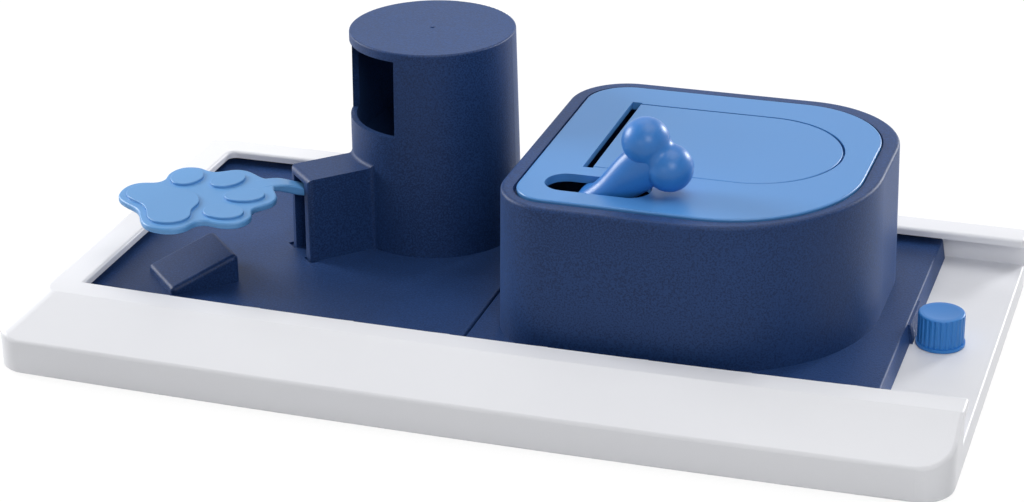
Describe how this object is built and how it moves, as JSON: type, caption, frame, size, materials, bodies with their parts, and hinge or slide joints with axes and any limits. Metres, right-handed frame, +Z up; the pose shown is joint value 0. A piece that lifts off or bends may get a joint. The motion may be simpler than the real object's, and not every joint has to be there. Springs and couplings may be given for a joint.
{
  "type": "dog puzzle feeder",
  "caption": "Tray with a treat tower raised by a paw-shaped lever and a treat box whose round flap opens with a bone-shaped lever.",
  "frame": {"origin": "middle of the tray, on the surface it stands on", "axes": "+X along the tray to its open end, +Y to the back rail, +Z up"},
  "size_m": [0.4044, 0.2068, 0.1172],
  "materials": {
    "tray_plastic": "fine satin grain",
    "navy_plastic": "fine satin grain",
    "light_blue_plastic": "fine satin grain",
    "blue_plastic": "fine satin grain",
    "foot_rubber": "matt",
    "steel": "drawn"
  },
  "bodies": {
    "base": {"tray": "tray_plastic", "foot_1": "foot_rubber", "foot_2": "foot_rubber", "foot_3": "foot_rubber", "foot_4": "foot_rubber", "foot_5": "foot_rubber", "foot_6": "foot_rubber", "tower_module": "navy_plastic", "lever_pin": "steel", "pin_retainer": "navy_plastic", "retainer_screws": "steel", "box_module": "navy_plastic", "lid_frame": "light_blue_plastic"},
    "paw": {"paw_lever": "light_blue_plastic"},
    "lift": {"lift_platform": "navy_plastic"},
    "flap_set": {"flap": "light_blue_plastic", "flap_axle": "steel", "axle_clips": "steel", "bone_lever": "blue_plastic"},
    "knob": {"lock_knob": "blue_plastic"}
  },
  "joints": [
    {"name": "paw_press", "type": "hinge", "parent": "base", "child": "paw", "pos_m": [-0.08837, 0.01913, 0.05], "axis": [0.7071, -0.7071, 0], "range_deg": [0, 18]},
    {"name": "platform_lift", "type": "slide", "parent": "base", "child": "lift", "axis": [0, 0, 1], "range_m": [0, 0.0129]},
    {"name": "flap_open", "type": "hinge", "parent": "base", "child": "flap_set", "pos_m": [0.0402, 0.0272, 0.0759], "axis": [0, -1, 0], "range_deg": [0, 70]},
    {"name": "knob_turn", "type": "hinge", "parent": "base", "child": "knob", "pos_m": [0.17875, 0.0123, 0.02], "axis": [0, 0, 1], "range_deg": [0, 360]}
  ],
  "couplings": [
    {"joint": "platform_lift", "follows": "paw_press", "m_per_rad": 0.041}
  ]
}
